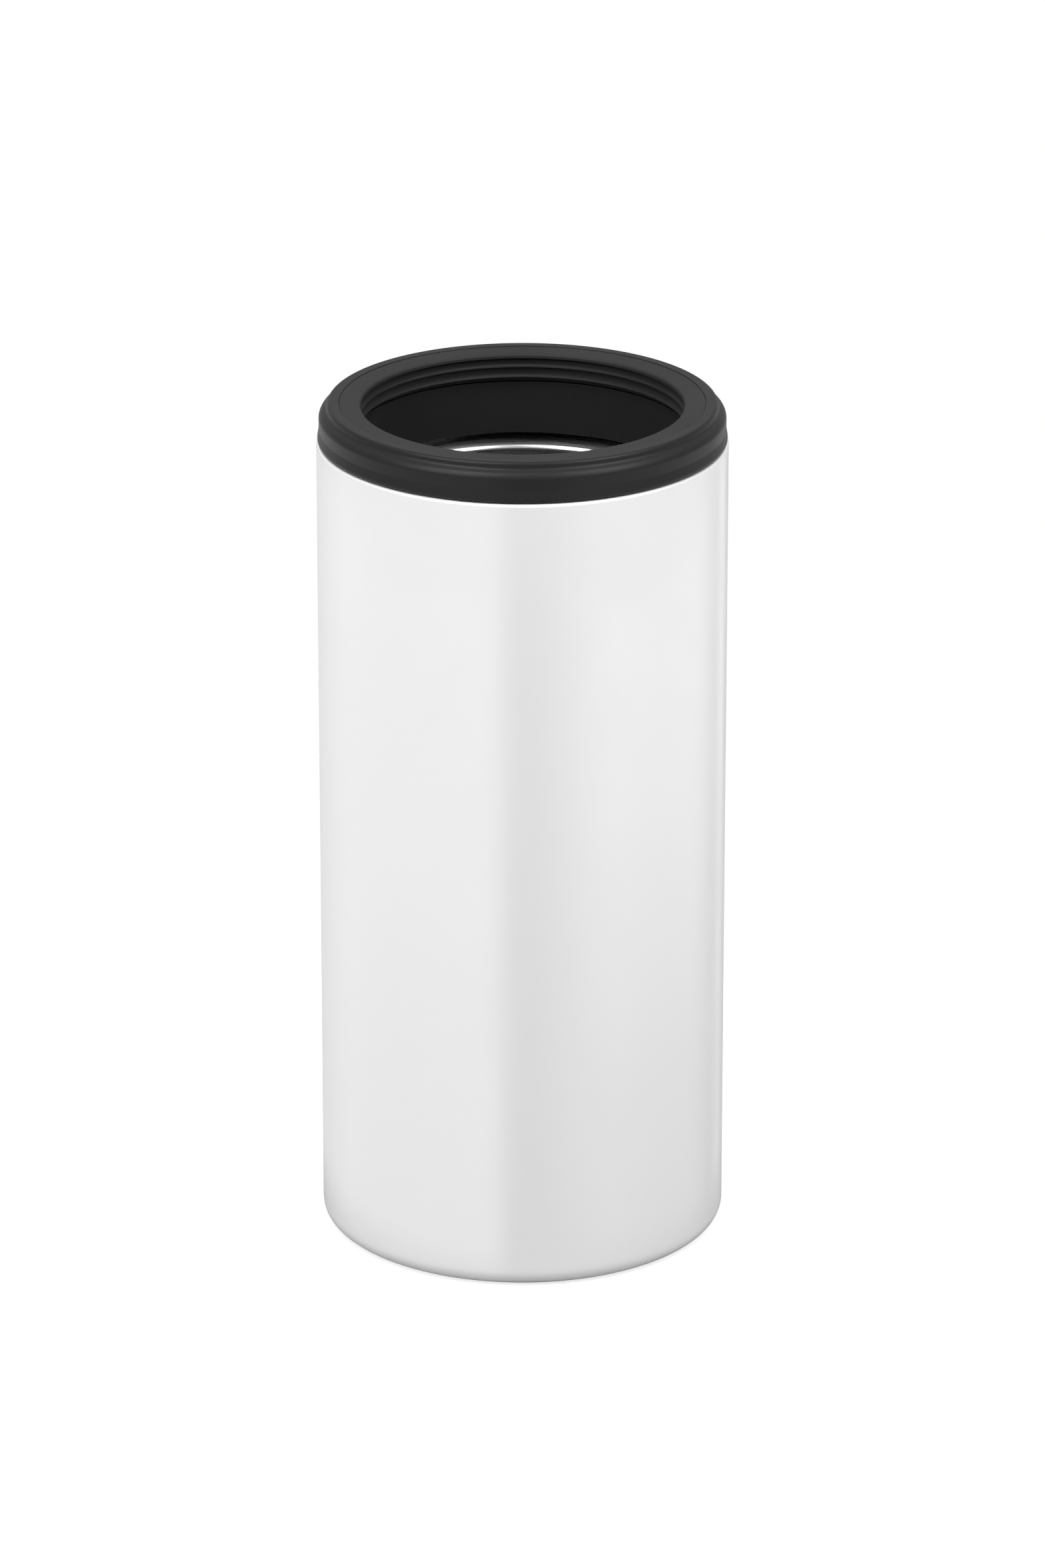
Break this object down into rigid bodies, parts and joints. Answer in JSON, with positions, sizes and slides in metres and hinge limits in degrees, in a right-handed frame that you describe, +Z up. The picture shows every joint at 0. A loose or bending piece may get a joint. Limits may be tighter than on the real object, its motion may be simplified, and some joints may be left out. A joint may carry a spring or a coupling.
{
  "type": "can cooler",
  "caption": "Straight round double-wall steel cooler for a slim drinks can, with a screw-on collar that holds a gripping ring.",
  "frame": {"origin": "middle of the foot, on the surface that the cooler stands on", "axes": "+Z up along the cooler's axis, out of its mouth"},
  "size_m": [0.073, 0.073, 0.155],
  "materials": {
    "body_paint": "white gloss paint on steel",
    "steel": "bare drawn stainless steel, finely brushed",
    "sealing_glass": "dark solid sealing glass",
    "getter_metal": "dull sintered metal",
    "collar_plastic": "near-black moulded plastic, satin",
    "gasket_rubber": "dark grey soft rubber, matt",
    "seal_rubber": "black rubber, matt"
  },
  "bodies": {
    "cooler": {"outer_shell": "body_paint", "inner_liner": "steel", "outer_base": "steel", "base_cover": "steel", "vacuum_bead": "sealing_glass", "getter": "getter_metal"},
    "seal_ring": {"rim_seal": "seal_rubber"},
    "collar_ring": {"collar": "collar_plastic", "gasket": "gasket_rubber"}
  },
  "joints": [
    {"name": "collar_lift", "type": "slide", "parent": "cooler", "child": "seal_ring", "axis": [0, 0, 1], "range_m": [0, 0.009]},
    {"name": "collar_turn", "type": "hinge", "parent": "seal_ring", "child": "collar_ring", "pos_m": [0, 0, 0.1479], "axis": [0, 0, 1], "range_deg": [0, 540]}
  ],
  "couplings": [
    {"joint": "collar_lift", "follows": "collar_turn", "m_per_rad": 0.00095493}
  ]
}
